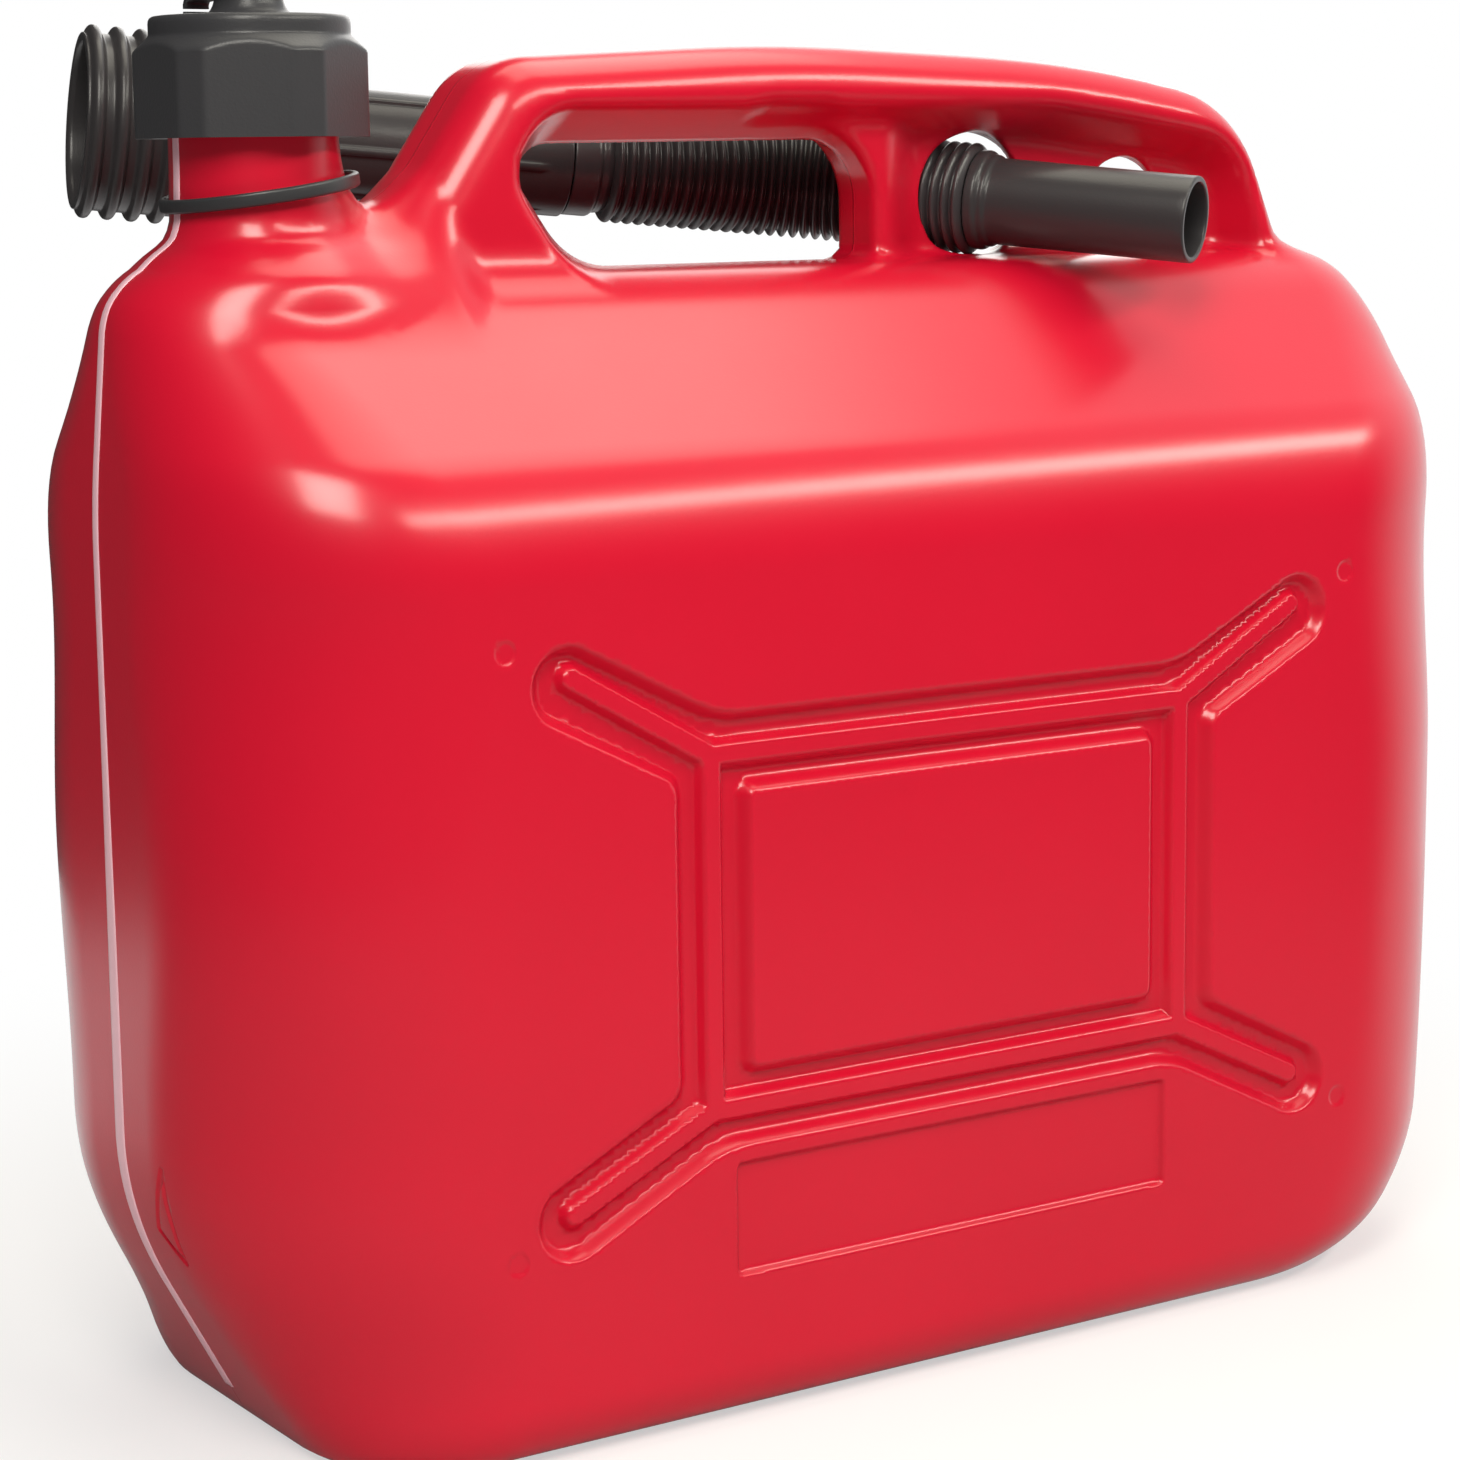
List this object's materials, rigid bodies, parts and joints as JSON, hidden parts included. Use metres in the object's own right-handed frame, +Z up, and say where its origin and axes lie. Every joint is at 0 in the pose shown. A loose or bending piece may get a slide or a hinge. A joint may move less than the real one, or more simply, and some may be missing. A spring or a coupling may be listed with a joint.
{
  "type": "fuel can",
  "caption": "Blow-moulded plastic fuel can with a top handle, a tethered screw cap and a flexible ribbed spout stowed through the handle.",
  "frame": {"origin": "centre of the flat base", "axes": "+X from the neck end to the far end, -Y out of the front panel, +Z up"},
  "size_m": [0.35, 0.1759, 0.3168],
  "materials": {
    "can_red": "semi-gloss blow-moulded polyethylene",
    "stripe_clear": "satin translucent polyethylene",
    "cap_black": "satin",
    "tether_black": "satin",
    "hose_black": "semi-gloss",
    "spout_black": "semi-gloss",
    "seal_rubber": "matt"
  },
  "bodies": {
    "can": {"can_body": "can_red", "sight_stripe": "stripe_clear", "cap_tether": "tether_black"},
    "cap_rider": {"tether_eye": "tether_black"},
    "cap": {"screw_cap": "cap_black", "cap_seal": "seal_rubber"},
    "spout": {"spout_base": "spout_black", "spout_washer": "seal_rubber", "spout_hose": "hose_black", "spout_nozzle": "spout_black"}
  },
  "joints": [
    {"name": "cap_lift", "type": "slide", "parent": "can", "child": "cap_rider", "axis": [0, 0, 1], "range_m": [0, 0.011]},
    {"name": "cap_turn", "type": "hinge", "parent": "cap_rider", "child": "cap", "pos_m": [-0.135, 0, 0.3], "axis": [0, 0, 1], "range_deg": [0, 720]},
    {"name": "spout_withdraw", "type": "slide", "parent": "can", "child": "spout", "axis": [-0.5305, 0.8424, 0.0941], "range_m": [0, 0.075]}
  ],
  "couplings": [
    {"joint": "cap_turn", "follows": "cap_lift", "rad_per_m": 1142.4}
  ]
}
